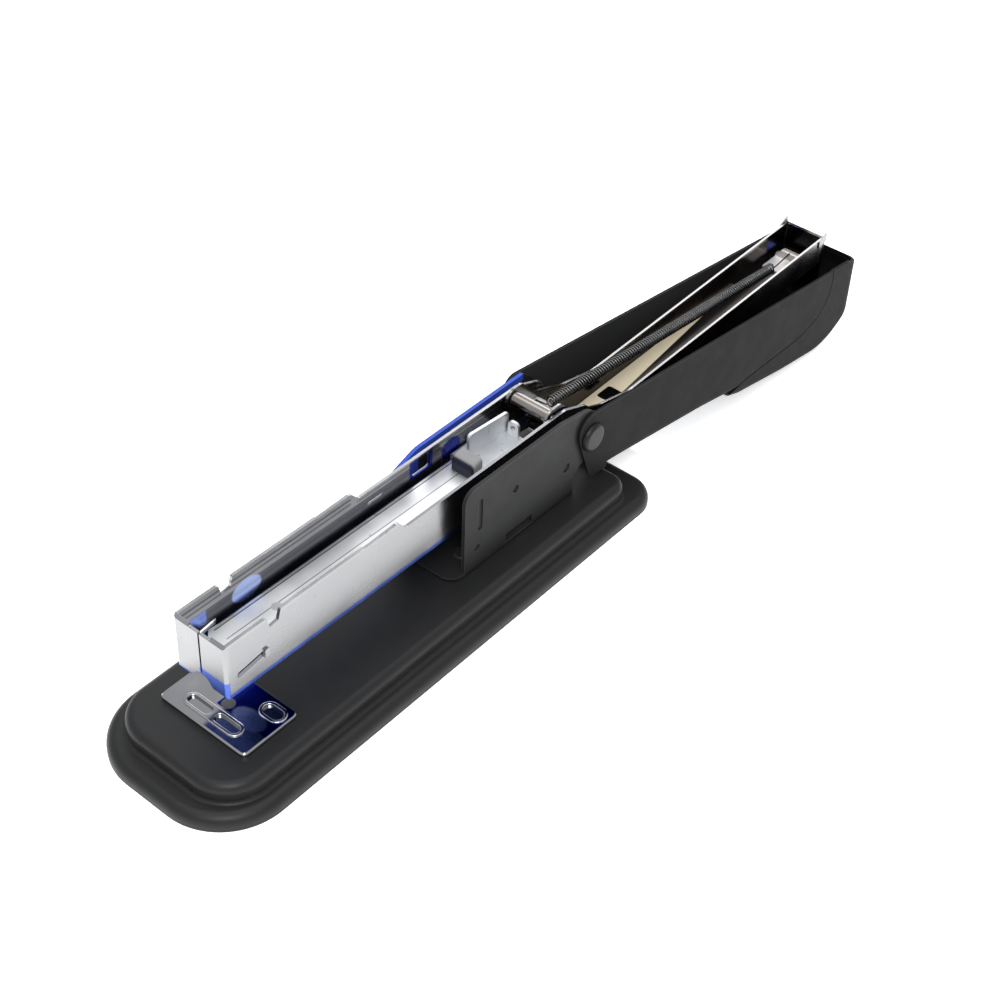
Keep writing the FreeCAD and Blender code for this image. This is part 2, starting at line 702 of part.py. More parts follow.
def lower_rim(half, end):
    """Picks the edges where the sides turn into the underside, up to the end."""
    def chosen(edge):
        box = edge.BoundBox
        below = box.ZMax < -12.5 and box.XLength > 0.1
        return stands_at(edge, half) and below and UNDERSIDE_START < box.Center.x < end
    return chosen


def make_handle_shell():
    """A pressed shell; its tip steps in by the cap's wall, so that the cap lies flush."""
    gauge = size["handle_sheet"]
    half = size["handle_width"] / 2
    core_half = half - size["cap_wall"]
    outline = [*EAR, *reversed(CREASE)]
    ears = form_body("handle_ears")
    pad(ears, "side", "-handle_width / 2", "handle_width / 2",
        closed(*EAR[:3], (UNDERSIDE_START + 1, height_at(EAR, 2, UNDERSIDE_START + 1)),
               (UNDERSIDE_START + 1, open_edge(UNDERSIDE_START + 1))))
    pin_hole = circle(0, 0, size["pin_radius"] + size["running_fit"])
    pocket(ears, "side", "-handle_width", "handle_width", pin_hole)
    main = form_body("handle_main")
    pad(main, "side", "-handle_width / 2", "handle_width / 2",
        closed((UNDERSIDE_START, height_at(EAR, 2, UNDERSIDE_START)), *outline[3:],
               (UNDERSIDE_START, open_edge(UNDERSIDE_START))))
    soften(main, "2.6", lower_rim(half, 63))
    # a shallow groove runs along the seam with the cap
    seam = closed(*inset([*CREASE, *CAP_FRONT], -SEAM_WIDTH))
    for low, high in ((f"handle_width / 2 - {SEAM_DEPTH}", "handle_width"),
                      ("-handle_width", f"{SEAM_DEPTH} - handle_width / 2")):
        pocket(main, "side", low, high, seam)
    room = form_body("handle_room")
    inner = inset(outline, gauge)
    pad(room, "side", "handle_sheet - handle_width / 2", "handle_width / 2 - handle_sheet",
        closed((UNDERSIDE_START, height_at(inner, 2, UNDERSIDE_START)), *inner[3:-1],
               (inner[-1][0], 20), (-20, 20), (-20, -30), (UNDERSIDE_START, -30)))
    soften(room, "1.85", lower_rim(half - gauge, 62))
    core = form_body("handle_core")
    lap = SEAM_WIDTH
    behind = inset([*CREASE, *CAP_FRONT], -lap)
    top = (CREASE[0][0] - lap, open_edge(CREASE[0][0] - lap) - size["cap_wall"])
    core_outline = [top, *behind[1:5], (LIP_X, height_at(behind, 4, LIP_X)), *tip_run(size["cap_wall"])]
    pad(core, "side", str(-core_half), str(core_half), closed(*core_outline))
    round_in_plan(core, core_half, TIP_X - size["cap_wall"], size["tip_corner"] - size["cap_wall"])
    core_room = form_body("handle_core_room")
    deep = tip_run(size["cap_wall"] + gauge, LIP_X + gauge)[:-1]
    # the tip's room runs back through the joggle into the main room
    opened = [*JOGGLE, (LIP_X + gauge, -21.5), *deep[:-1], (deep[-1][0], 20)]
    room_half = core_half - gauge
    pad(core_room, "side", str(-room_half), str(room_half), closed(*opened))
    round_in_plan(core_room, room_half, TIP_X - size["cap_wall"] - gauge,
                  size["tip_corner"] - size["cap_wall"] - gauge)
    holes = []
    for x, z in HANDLE_RIVETS:
        hole = doc.addObject("Part::Cylinder", "rivet_hole")
        hole.Radius = HANDLE_RIVET_RADIUS
        hole.Height = 40
        hole.Placement = FreeCAD.Placement(V(x, 20, z), FreeCAD.Rotation(V(1, 0, 0), 90))
        holes.append(hole)
    leaf_hole = doc.addObject("Part::Cylinder", "leaf_hole")
    leaf_hole.Radius = LEAF_RIVET_RADIUS
    leaf_hole.Height = 6
    through = FreeCAD.Placement(V(0, 0, -3), FreeCAD.Rotation())
    leaf_hole.Placement = tilted(*LEAF_RIVET, LEAF_RIVET_TILT).multiply(through)
    solid = doc.addObject("Part::MultiFuse", "handle_solid")
    solid.Shapes = [ears, main, core]
    hollow = doc.addObject("Part::MultiFuse", "handle_hollow")
    hollow.Shapes = [room, core_room, leaf_hole, *holes]
    shell = doc.addObject("Part::Cut", "handle_shell")
    shell.Base = solid
    shell.Tool = hollow
    shell.Label = "handle_shell"
    shell.Placement = handle_frame
    subparts.append(shell)


def make_thumb_cap():
    half = size["handle_width"] / 2
    wall = size["cap_wall"]
    outside = form_body("cap_outside")
    pad(outside, "side", "-handle_width / 2", "handle_width / 2", closed(*CREASE, *CAP_FRONT))
    round_in_plan(outside, half, TIP_X, size["tip_corner"])
    soften(outside, "2.4", lambda edge: stands_at(edge, half) and edge.BoundBox.XLength > 1
           and abs(edge.BoundBox.Center.x - LIP_X) < 1.5 and edge.BoundBox.ZMin < -26)
    inside = form_body("cap_inside")
    fit = size["running_fit"] / 2
    tip = tip_run(wall - fit)[:-1]
    cutter = [*JOGGLE, (LIP_X, -21.5), *tip[:-1], (tip[-1][0], 20)]
    inner_half = half - wall + fit
    pad(inside, "side", str(-inner_half), str(inner_half), closed(*cutter))
    round_in_plan(inside, inner_half, TIP_X - wall + fit, size["tip_corner"] - wall + fit)
    cap = doc.addObject("Part::Cut", "thumb_cap")
    cap.Base = outside
    cap.Tool = inside
    cap.Label = "thumb_cap"
    cap.Placement = handle_frame
    subparts.append(cap)


def make_blade_holder():
    holder = new_body("blade_holder", handle_frame)
    side = closed((104, -31.0), (104, -26, 2), (108.5, -17.6, 1.5), (119.5, -17.6, 1.5), (120.5, -24, 6),
                  (119, -31.2, 3))
    pad(holder, "side", "-10.6", "10.6", side)
    pocket(holder, "side", "-blade_width / 2", "blade_width / 2", blade_section())
    pocket(holder, "side", "-20", "20", *[circle(x, z, HANDLE_RIVET_RADIUS) for x, z in HANDLE_RIVETS])


def make_handle_rivets():
    rivets = new_body("handle_rivets", handle_frame)
    rivets.AllowCompound = True
    reach = "handle_width / 2 - cap_wall"
    pad(rivets, "side", f"-({reach})", reach, *[circle(x, z, HANDLE_RIVET_RADIUS) for x, z in HANDLE_RIVETS])


def blade_section():
    """The blade from the side: it leans back, so that it is square to the magazine half-way down."""
    half = size["blade_thickness"] / 2
    lean = FreeCAD.Rotation(V(0, 1, 0), BLADE_LEAN)
    foot = V(size["blade_x"], 0, size["blade_edge"])
    length = 24.1
    ends = ((-half, 0), (half, 0), (half, -length), (-half, -length))
    corners = [foot + lean.multVec(V(x, 0, z)) for x, z in ends]
    return closed(*((corner.x, corner.z) for corner in corners))


def make_driver_blade():
    blade = new_body("driver_blade", handle_frame)
    pad(blade, "side", "-blade_width / 2", "blade_width / 2", blade_section())


def make_handle_spring():
    """A leaf inside the handle that bears on the cover and lifts the blade."""
    leaf = new_body("handle_spring", handle_frame)
    strip = closed((35.5, -17.9), (50, -20.42, 4), (86, -10.7, 4), (90, -10.5), (90, -9.9), (86, -10.1, 4),
                   (50.2, -19.8, 3), (35.5, -17.3))
    pad(leaf, "side", "-4.5", "4.5", strip)
    pocket(leaf, "plan", "-30", "0", circle(LEAF_RIVET[0] + 0.2, 0, LEAF_RIVET_RADIUS + 0.15))


def make_leaf_rivet():
    rivet = new_body("leaf_rivet", handle_frame.multiply(tilted(*LEAF_RIVET, LEAF_RIVET_TILT)))
    outline = closed((0, 0.05), (LEAF_RIVET_RADIUS, 0.05), (LEAF_RIVET_RADIUS, 1.5),
                     (2.3, 1.5), (2.1, 2.3, 0.5), (0, 2.3))
    turned(rivet, "side", "V_Axis", outline)


steps = (
    make_base_shell, make_base_pad, make_bracket, make_bracket_rivets, make_main_pin, make_pivot_bush,
    make_lift_spring, make_anvil, make_anvil_button, make_anvil_spring, make_magazine_channel,
    make_staple_rail, make_rail_rivets, make_pusher, make_pusher_tip, make_cover_channel, make_roller_pin,
    make_spring_anchor, make_pusher_spring, make_handle_shell, make_thumb_cap, make_blade_holder,
    make_handle_rivets, make_driver_blade, make_handle_spring, make_leaf_rivet,
)
for step in steps:
    step()
doc.recompute()

faults = []
for item in doc.Objects:
    if any(word in ("Invalid", "Error") for word in item.State):
        faults.append(f"{item.Name} failed: {item.State}")
for item in subparts:
    shape = item.Shape
    if shape.isNull() or not shape.isValid() or not shape.Solids:
        faults.append(f"{item.Label} has no valid solid")
if faults:
    raise SystemExit("\n".join(faults))

os.makedirs("parts", exist_ok=True)
for item in subparts:
    item.Shape.exportStep(f"parts/{item.Label}.step")
    print(item.Label, len(item.Shape.Solids), round(item.Shape.Volume, 1))
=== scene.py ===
import math

import bpy
import numpy as np
from mathutils import Matrix, Vector


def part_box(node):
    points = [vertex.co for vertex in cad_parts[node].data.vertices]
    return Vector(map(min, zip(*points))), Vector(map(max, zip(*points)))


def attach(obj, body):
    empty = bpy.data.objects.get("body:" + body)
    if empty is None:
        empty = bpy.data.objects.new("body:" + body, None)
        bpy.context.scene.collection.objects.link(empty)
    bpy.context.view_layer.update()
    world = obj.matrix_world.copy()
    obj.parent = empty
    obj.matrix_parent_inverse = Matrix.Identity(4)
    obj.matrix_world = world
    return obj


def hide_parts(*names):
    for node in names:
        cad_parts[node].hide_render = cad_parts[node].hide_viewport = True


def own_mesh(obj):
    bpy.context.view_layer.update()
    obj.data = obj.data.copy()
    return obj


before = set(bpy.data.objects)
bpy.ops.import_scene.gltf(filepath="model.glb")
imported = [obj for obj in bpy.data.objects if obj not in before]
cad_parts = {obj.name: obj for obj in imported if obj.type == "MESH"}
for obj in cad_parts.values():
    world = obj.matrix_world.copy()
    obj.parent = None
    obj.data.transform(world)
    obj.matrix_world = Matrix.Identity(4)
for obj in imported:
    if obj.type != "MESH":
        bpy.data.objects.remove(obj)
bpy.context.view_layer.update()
MM = 0.001
PIVOT = (59.0, 0.0, 24.05)  # the main pin's axis, in millimetres
MAGAZINE_TILT = math.radians(-1.02)
COVER_TILT = math.radians(1.37)
HANDLE_TILT = math.radians(-9.76)  # brings the open handle's underside level
MAGAZINE_ORIGIN = (-57.2, 0.0, 19.48)  # bottom of the nose once the tilt is taken out


# ---------------------------------------------------------------- finishes


class Finish:
    """A node material for the Principled shader, built in steps. Places are in millimetres."""

    def __init__(self, name, **constants):
        self.material = bpy.data.materials.new(name)
        self.material.use_nodes = True
        self.tree = self.material.node_tree
        self.shader = self.tree.nodes["Principled BSDF"]
        for socket, value in constants.items():
            self.shader.inputs[socket.replace("_", " ")].default_value = value
        place = self.tree.nodes.new("ShaderNodeTexCoord").outputs["Object"]
        self.point = self.vector_math("SCALE", place, scale=1 / MM)

    def add(self, kind, **settings):
        node = self.tree.nodes.new(kind)
        for name, value in settings.items():
            setattr(node, name, value)
        return node

    def feed(self, socket, value):
        """Links a socket's input to an output, or sets it to a constant."""
        if isinstance(value, bpy.types.NodeSocket):
            self.tree.links.new(value, socket)
        else:
            socket.default_value = value

    def vector_math(self, operation, first, second=None, scale=None):
        node = self.add("ShaderNodeVectorMath", operation=operation)
        self.feed(node.inputs[0], first)
        if second is not None:
            self.feed(node.inputs[1], second)
        if scale is not None:
            node.inputs["Scale"].default_value = scale
        return node.outputs["Value" if operation == "DOT_PRODUCT" else "Vector"]

    def math(self, operation, first, second):
        node = self.add("ShaderNodeMath", operation=operation)
        self.feed(node.inputs[0], first)
        self.feed(node.inputs[1], second)
        return node.outputs[0]

    def noise(self, grain, detail=3.0, stretch=(1, 1, 1)):
        """Noise from 0 to 1 whose blotches are about grain millimetres across."""
        scaled = self.vector_math("DIVIDE", self.point, stretch)
        node = self.add("ShaderNodeTexNoise")
        self.feed(node.inputs["Vector"], scaled)
        node.inputs["Scale"].default_value = 1 / grain
        node.inputs["Detail"].default_value = detail
        return node.outputs["Fac"]

    def span(self, value, low, high, start=0.0, end=1.0):
        """Value from start to end, laid smoothly onto low to high."""
        node = self.add("ShaderNodeMapRange", interpolation_type="SMOOTHSTEP")
        self.feed(node.inputs["Value"], value)
        limits = {"From Min": start, "From Max": end, "To Min": low, "To Max": high}
        for name, limit in limits.items():
            node.inputs[name].default_value = limit
        return node.outputs["Result"]

    def mixed(self, share, first, second):
        """First where share is 0, second where it is 1."""
        node = self.add("ShaderNodeMix", data_type="RGBA")
        factor, colour_a, colour_b = node.inputs[0], node.inputs[6], node.inputs[7]
        for socket, value in ((factor, share), (colour_a, first), (colour_b, second)):
            self.feed(socket, value)
        return node.outputs[2]

    def untilted(self, angle, origin):
        """The place in a tilted part's frame: first the tilt about the main pin is taken out."""
        node = self.add("ShaderNodeVectorRotate", rotation_type="Y_AXIS")
        self.feed(node.inputs["Vector"], self.point)
        node.inputs["Center"].default_value = PIVOT
        node.inputs["Angle"].default_value = angle
        return self.vector_math("SUBTRACT", node.outputs["Vector"], origin)

    def inside(self, place, low, high, blur=0.4):
        """1 inside a box of places and 0 outside it, with a soft edge."""
        centre = [(a + b) / 2 for a, b in zip(low, high)]
        half = [(b - a) / 2 for a, b in zip(low, high)]
        away = self.vector_math("ABSOLUTE", self.vector_math("SUBTRACT", place, centre))
        node = self.add("ShaderNodeMapRange", data_type="FLOAT_VECTOR",
                        interpolation_type="SMOOTHSTEP")
        self.feed(node.inputs["Vector"], away)
        from_low, from_high, to_low, to_high = node.inputs[7:11]
        from_low.default_value = [h - blur for h in half]
        from_high.default_value = [h + blur for h in half]
        to_low.default_value = (1, 1, 1)
        to_high.default_value = (0, 0, 0)
        axes = self.add("ShaderNodeSeparateXYZ")
        self.feed(axes.inputs[0], node.outputs["Vector"])
        along_x, along_y, along_z = axes.outputs
        return self.math("MULTIPLY", self.math("MULTIPLY", along_x, along_y), along_z)

    def oval(self, place, centre, reach, blur=0.15):
        """1 inside an ellipsoid of places and 0 outside it, with a soft edge."""
        away = self.vector_math("DIVIDE", self.vector_math("SUBTRACT", place, centre), reach)
        square = self.vector_math("DOT_PRODUCT", away, away)
        return self.span(square, 1.0, 0.0, start=1 - blur, end=1 + blur)

    def edges(self, radius=0.35):
        """1 on sharp edges and 0 on flats, for wear and, on the base, a painted highlight."""
        bevel = self.add("ShaderNodeBevel", samples=4)
        bevel.inputs["Radius"].default_value = radius * MM
        geometry = self.add("ShaderNodeNewGeometry")
        alike = self.vector_math("DOT_PRODUCT", bevel.outputs["Normal"], geometry.outputs["Normal"])
        return self.span(alike, 1.0, 0.0, start=0.80, end=0.99)

    def bump(self, height, depth):
        """Raises the surface by up to depth, in millimetres."""
        node = self.add("ShaderNodeBump")
        node.inputs["Distance"].default_value = depth * MM
        node.inputs["Strength"].default_value = 1.0
        self.feed(node.inputs["Height"], height)
        self.feed(self.shader.inputs["Normal"], node.outputs["Normal"])

    def colour(self, value):
        self.feed(self.shader.inputs["Base Color"], value)

    def roughness(self, value):
        self.feed(self.shader.inputs["Roughness"], value)


def grey(level, warm=0.0):
    """A grey of a linear level, a little redder than blue when warm."""
    return (level * (1 + warm), level, level * (1 - warm), 1)


# In the three finishes, level is the lightness, rough the roughness, and tint a function that
# lays colours over the body by position.


def paint(name, level, rough, wear_and_highlight=0.12, tint=None, shine=0.3):
    """Satin black paint on steel: orange peel, faint cloudiness, and bare-looking edges."""
    made = Finish(name, IOR=1.45, Specular_IOR_Level=shine)
    cloud = made.span(made.noise(22, 4), 0, 1, start=0.3, end=0.7)
    fleck = made.span(made.noise(0.5, 2), 0, 1, start=0.45, end=0.8)
    body = made.mixed(cloud, grey(level * 0.96), grey(level * 1.04))
    body = made.mixed(made.math("MULTIPLY", fleck, 0.2), body, grey(level * 1.5))
    body = made.mixed(made.math("MULTIPLY", made.edges(), wear_and_highlight), body, grey(0.30))
    if tint:
        body = tint(made, body)
    made.colour(body)
    made.roughness(made.span(made.noise(5, 3), rough - 0.02, rough + 0.03, start=0.3, end=0.7))
    made.bump(made.noise(0.45, 3), 0.010)
    return made.material


def plated(name, level, rough, tint=None, warm=0.0):
    """Plated steel: stamping lines along the length, smudges, and small pits."""
    made = Finish(name, Metallic=1.0)
    lines = made.noise(0.35, 2, stretch=(30, 1, 1))
    smudge = made.span(made.noise(9, 5), 0, 1, start=0.35, end=0.7)
    body = made.mixed(smudge, grey(level * 0.95, warm), grey(min(level * 1.05, 0.96), warm))
    pits = made.span(made.noise(1.4, 1), 0, 0.5, start=0.745, end=0.79)
    body = made.mixed(pits, body, grey(level * 0.35))
    if tint:
        body = tint(made, body)
    made.colour(body)
    streaks = made.span(lines, 0, 0.012, start=0.3, end=0.7)
    made.roughness(made.math("ADD", streaks, made.span(smudge, rough - 0.02, rough + 0.03)))
    made.bump(made.noise(6.0, 0), 0.002)
    return made.material


def moulded(name, level, rough, grain=0.7, depth=0.02, tint=None, shine=0.35):
    """Moulded plastic or rubber with a fine grain."""
    made = Finish(name, IOR=1.46, Specular_IOR_Level=shine)
    cloud = made.span(made.noise(12, 4), 0, 1, start=0.3, end=0.7)
    body = made.mixed(cloud, grey(level * 0.96), grey(level * 1.04))
    wear = made.math("MULTIPLY", made.edges(0.3), 0.15)
    body = made.mixed(wear, body, grey(min(1, level * 3 + 0.02)))
    if tint:
        body = tint(made, body)
    made.colour(body)
    made.roughness(made.span(made.noise(2.5, 3), rough - 0.02, rough + 0.02, start=0.3, end=0.7))
    made.bump(made.noise(grain, 3), depth)
    return made.material


# Painted reflections: the blues below stand for blue mirrored in the parts, not a colour they have.
LIGHT_BLUE_REFLECTION = (0.10, 0.18, 0.68, 1)
PALE_BLUE_REFLECTION = (0.50, 0.62, 1.0, 1)
NOSE_BLUE_REFLECTION = (0.26, 0.36, 0.85, 1)
CHEEK_BLUE_REFLECTION = (0.035, 0.08, 0.46, 1)
DEEP_BLUE_REFLECTION = (0.010, 0.020, 0.24, 1)
# Painted shade: greys for the magazine's walls, darker than its chrome where they fall in shade.
FAR_WALL_SHADE = (0.16, 0.16, 0.18, 1)
NEAR_WALL_SHADE = (0.30, 0.30, 0.32, 1)
# Painted shade and painted reflections for the cover's channel, and painted shade for the pusher
# tip.
COVER_SHADE = (0.028, 0.022, 0.020, 1)
COVER_BROWN_REFLECTION = (0.085, 0.060, 0.055, 1)
CREAM_REFLECTION = (0.70, 0.61, 0.44, 1)
TIP_FRONT_SHADE = (0.006, 0.008, 0.02, 1)


# In the tints, a place is (along, across, up) in the part's own frame, in millimetres: from the
# bottom of the nose for the magazine and what it holds, from the pivot for the cover, the handle
# and the blade, and from the frame's own origin for the anvil and the bracket.


def painted_over(made, body, place, patches, blur=0.3):
    """Lays each (low corner, high corner, colour) patch over the body colour."""
    for low, high, colour in patches:
        body = made.mixed(made.inside(place, low, high, blur), body, colour)
    return body


def magazine_tint(made, body):
    """Painted shade on the walls, and painted blue reflections along the lips, at the nose and in
    the presswork of the far wall.
    """
    place = made.untilted(MAGAZINE_TILT, MAGAZINE_ORIGIN)
    # painted shade on the far wall's inner face in bands that leave thin bright lines along its
    # rim, and on the near wall
    body = painted_over(made, body, place, [
        ((1.5, 6.2, 2.5), (118, 7.3, 11.0), FAR_WALL_SHADE),
        ((1.5, 6.2, 12.2), (52, 7.3, 12.7), FAR_WALL_SHADE),
        ((1.5, 6.2, 13.5), (52, 7.3, 14.1), FAR_WALL_SHADE),
        ((54, 6.2, 11.6), (118, 7.3, 11.9), FAR_WALL_SHADE),
        ((1.5, -7.55, 2.5), (118, -6.2, 14.4), NEAR_WALL_SHADE),
    ], blur=0.15)
    # painted blue reflections: a pale oval and a deep oval on the far wall
    body = made.mixed(made.oval(place, (19.8, 6.8, 9.0), (4.3, 0.65, 2.9)), body, PALE_BLUE_REFLECTION)
    body = made.mixed(made.oval(place, (86.0, 6.8, 8.5), (3.4, 0.65, 3.0)), body, DEEP_BLUE_REFLECTION)
    # painted blue reflections at the nose, on the front foot, in a patch on the far wall and along
    # the lips
    return painted_over(made, body, place, [
        ((2.5, 6.0, 7.5), (8.1, 7.2, 10.9), NOSE_BLUE_REFLECTION),
        ((5.3, 6.0, 3.2), (10.6, 7.2, 4.7), LIGHT_BLUE_REFLECTION),
        ((71.5, 6.4, 7.2), (79.5, 7.2, 12.3), DEEP_BLUE_REFLECTION),
        ((-1.0, -9.0, -1.0), (125, 9.0, 1.0), LIGHT_BLUE_REFLECTION),
        ((-1.0, -8.5, -1.0), (0.9, 0.5, 4.6), LIGHT_BLUE_REFLECTION),
    ])


def rail_tint(made, body):
    """Two dark lines along the rail, and a painted blue reflection on its near front corner, behind
    the wall's slot.
    """
    place = made.untilted(MAGAZINE_TILT, MAGAZINE_ORIGIN)
    body = painted_over(made, body, place, [
        ((8.0, 0.55, 6.0), (84.0, 0.8, 7.2), grey(0.25)),
        ((8.0, 4.3, 6.0), (84.0, 4.7, 7.2), grey(0.20)),
    ], blur=0.08)
    # painted blue reflection on the near front corner
    return painted_over(made, body, place, [((4.0, -7.0, 1.0), (12.5, -5.6, 6.0), LIGHT_BLUE_REFLECTION)])


def anvil_tint(made, body):
    """The rear near quarter of the anvil's flat carries a painted blue reflection round one painted
    highlight.
    """
    # painted blue reflection on the flat
    flat = [((-52.6, -14.0, 10.04), (-41.0, 2.0, 10.16), DEEP_BLUE_REFLECTION)]
    blue_reflected = painted_over(made, body, made.point, flat, blur=0.05)
    # painted highlight: a near-white oval on the flat
    highlight_spot = made.oval(made.point, (-51.2, -6.6, 10.1), (2.7, 4.4, 1.0), blur=0.3)
    return made.mixed(highlight_spot, blue_reflected, grey(0.95))


def cover_tint(made, body):
    """Painted shade over the inner channel, left bare along its rims, with painted brown and blue
    reflections on its far wall and a painted cream reflection as a strip on its floor."""
    place = made.untilted(COVER_TILT, PIVOT)
    # painted shade over the inner channel, and painted brown and blue reflections on the far wall
    body = painted_over(made, body, place, [
        ((-8.0, -5.95, -10.9), (113.2, 5.95, -3.9), COVER_SHADE),
        ((60.0, 3.0, -9.0), (92.0, 6.2, -4.4), COVER_BROWN_REFLECTION),
        ((104.0, 3.0, -8.5), (109.0, 6.2, -5.0), DEEP_BLUE_REFLECTION),
    ], blur=0.15)
    # painted cream reflection on the floor, made non-metal where it lies
    floor = made.inside(place, (9.0, -5.6, -10.95), (88.0, 5.6, -10.5), blur=0.1)
    # the strip's near edge slants, so that it narrows towards the tip
    beyond = made.vector_math("DOT_PRODUCT", place, (-0.085, 1.0, 0.0))
    strip = made.math("MULTIPLY", floor, made.span(beyond, 0, 1, start=-2.6, end=-2.2))
    made.feed(made.shader.inputs["Metallic"], made.math("SUBTRACT", 1.0, strip))
    return made.mixed(strip, body, CREAM_REFLECTION)


def tip_tint(made, body):
    """The tip's front face carries painted shade."""
    place = made.untilted(MAGAZINE_TILT, MAGAZINE_ORIGIN)
    # painted shade on the front face
    return painted_over(made, body, place, [((80.0, -5.0, 5.0), (82.6, 5.0, 12.0), TIP_FRONT_SHADE)])


def blade_tint(made, body):
    """The blade is dark but for one edge."""
    place = made.untilted(0.0, PIVOT)
    return painted_over(made, body, place, [((110, -7, -30), (118, 7, -1.1), grey(0.02))], blur=0.2)


def bracket_tint(made, body):
    """Painted blue reflection on the far cheek's rim."""
    return painted_over(made, body, made.point, [
        ((8.0, 10.3, 24.0), (21.5, 12.5, 36), CHEEK_BLUE_REFLECTION),
        ((21.0, 10.3, 28.8), (60, 12.5, 36), CHEEK_BLUE_REFLECTION),
    ])


def handle_painted_shade(made, body):
    """Painted shade inside the handle: nearly black, and a little lighter on its far wall."""
    place = made.untilted(HANDLE_TILT, PIVOT)
    return painted_over(made, body, place, [
        ((-7, -11.75, -11.9), (127.2, 11.75, 25), grey(0.004)),
        ((-7, 11.0, -11.9), (108.0, 11.85, 25), grey(0.032)),
    ], blur=0.1)


FINISHES = {
    # the base's edges are lightened beyond wear: partly worn paint, partly a painted highlight
    # along the upper step
    "base_shell": paint("base paint", 0.013, 0.42, wear_and_highlight=0.3),
    "bracket": paint("bracket paint", 0.0145, 0.52, tint=bracket_tint),
    "handle_shell": paint("handle paint", 0.0075, 0.6, tint=handle_painted_shade, shine=0.12),
    "bracket_rivets": paint("rivet paint", 0.02, 0.4),
    "handle_rivets": plated("handle rivet steel", 0.35, 0.3),
    "main_pin": paint("pin paint", 0.010, 0.36, wear_and_highlight=0.3),
    "thumb_cap": moulded("cap plastic", 0.0065, 0.6, depth=0.008, tint=handle_painted_shade, shine=0.12),
    "base_pad": moulded("pad rubber", 0.02, 0.75, grain=1.2, depth=0.05),
    "magazine_channel": plated("magazine chrome", 0.40, 0.24, tint=magazine_tint),
    "staple_rail": plated("rail chrome", 0.86, 0.42, tint=rail_tint),
    "rail_rivets": plated("rail rivet steel", 0.7, 0.3),
    "anvil_plate": plated("anvil chrome", 0.40, 0.12, tint=anvil_tint),
    "anvil_button": plated("button zinc", 0.14, 0.28),
    "pusher": plated("pusher zinc", 0.70, 0.46, warm=-0.02),
    "pusher_tip": moulded("tip plastic", 0.24, 0.5, tint=tip_tint),
    "cover_channel": plated("cover chrome", 0.36, 0.20, tint=cover_tint, warm=0.02),
    "roller_pin": plated("roller steel", 0.30, 0.18, warm=0.08),
    "spring_anchor": plated("anchor steel", 0.80, 0.5, warm=0.04),
    "pivot_bush": moulded("bush plastic", 0.45, 0.45),
    "blade_holder": plated("holder steel", 0.03, 0.4),
    "driver_blade": plated("blade steel", 0.62, 0.2, tint=blade_tint),
    "handle_spring": plated("leaf steel", 0.05, 0.3, warm=0.10),
    "leaf_rivet": plated("leaf rivet steel", 0.2, 0.3),
    "lift_spring": plated("lift spring steel", 0.10, 0.3),
    "pusher_spring": plated("coil steel", 0.15, 0.25),
    "anvil_spring": plated("anvil coil steel", 0.3, 0.25),
}

for node, finish in FINISHES.items():
    for material_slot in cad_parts[node].material_slots:
        material_slot.material = finish


# ---------------------------------------------------------------- springs


ASKEW = (0.31, 0.87, 0.38)  # no spring starts along this direction


def tube(name, path, radius, finish, sides=8):
    """A round wire along a path of points, in millimetres, closed at both ends."""
    path = np.array(path, float)
    ahead = np.gradient(path, axis=0)
    ahead /= np.linalg.norm(ahead, axis=1)[:, None]
    side = np.cross(ahead[0], ASKEW)
    rings = []
    for centre, direction in zip(path, ahead):
        side = side - direction * (side @ direction)
        side /= np.linalg.norm(side)
        up = np.cross(direction, side)
        turn = np.arange(sides) * 2 * math.pi / sides
        rings.append(centre + radius * (np.cos(turn)[:, None] * side + np.sin(turn)[:, None] * up))
    faces = []
    for ring in range(len(rings) - 1):
        for k in range(sides):
            a, b = ring * sides + k, ring * sides + (k + 1) % sides
            faces.append((a, b, b + sides, a + sides))
    last = (len(rings) - 1) * sides
    faces.append(tuple(range(sides))[::-1])
    faces.append(tuple(range(last, last + sides)))
    mesh = bpy.data.meshes.new(name)
    mesh.from_pydata([tuple(p * MM) for p in np.concatenate(rings)], [], faces)
    mesh.polygons.foreach_set("use_smooth", [True] * len(faces))
    mesh.materials.append(finish)
    made = bpy.data.objects.new(name, mesh)
    bpy.context.scene.collection.objects.link(made)
    return made


def helix(start, end, radius, turns, steps=14):
    """Points of a coil from start to end."""
    start, end = np.array(start, float), np.array(end, float)
    axis = (end - start) / np.linalg.norm(end - start)
    side = np.cross(axis, (0, 1, 0))
    side /= np.linalg.norm(side)
    up = np.cross(axis, side)
    share = np.linspace(0, 1, int(turns * steps) + 1)
    turn = share * turns * 2 * math.pi
    around = np.outer(np.cos(turn), side) + np.outer(np.sin(turn), up)
    return start + np.outer(share, end - start) + radius * around


def box_mm(node):
    """The lowest and highest corners of a CAD node, in millimetres."""
    low, high = (np.array(corner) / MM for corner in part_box(node))
    return low, high


